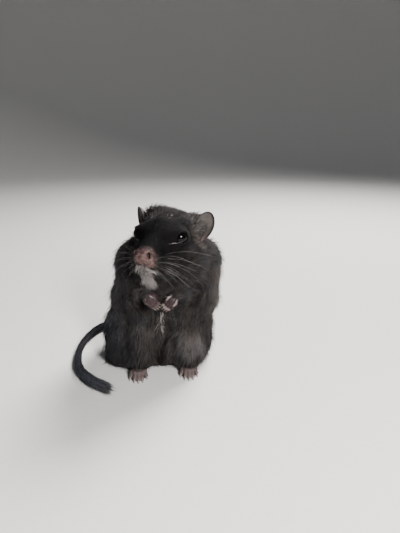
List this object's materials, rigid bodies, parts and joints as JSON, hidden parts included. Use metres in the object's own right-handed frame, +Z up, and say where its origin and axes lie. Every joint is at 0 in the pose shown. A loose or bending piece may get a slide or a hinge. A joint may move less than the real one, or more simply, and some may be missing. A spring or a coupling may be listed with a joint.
{
  "type": "gerbil",
  "caption": "Life-size still model of a black gerbil with a white chin, sitting up on its haunches with its hands together and its tail laid round on the floor.",
  "frame": {"origin": "on the floor, in the middle of the small flat under the pelvis", "axes": "-Y is the way the body faces, +Z is up, and +X is the animal's left"},
  "size_m": [0.0799, 0.0775, 0.0815],
  "materials": {
    "coat": "black fur with a soft brown-grey sheen, built out to the tips of the hairs",
    "tail": "short black fur",
    "chin": "white fur",
    "ear": "thin skin with very short hair",
    "paw": "skin with short pale hair",
    "eye": "wet and glossy"
  },
  "bodies": {
    "root": {"eye_left": "eye", "eye_right": "eye", "jaw": "chin", "head": "coat", "ear_left": "ear", "ear_right": "ear", "hand_left": "paw", "hand_right": "paw", "forearm_left": "coat", "forearm_right": "coat", "foot_left": "paw", "foot_right": "paw", "neck": "coat", "upper_arm_left": "coat", "upper_arm_right": "coat", "shank_left": "coat", "shank_right": "coat", "thigh_left": "coat", "thigh_right": "coat", "torso": "coat", "tail_root": "tail", "tail_middle": "tail", "tail_end": "tail"}
  },
  "joints": []
}
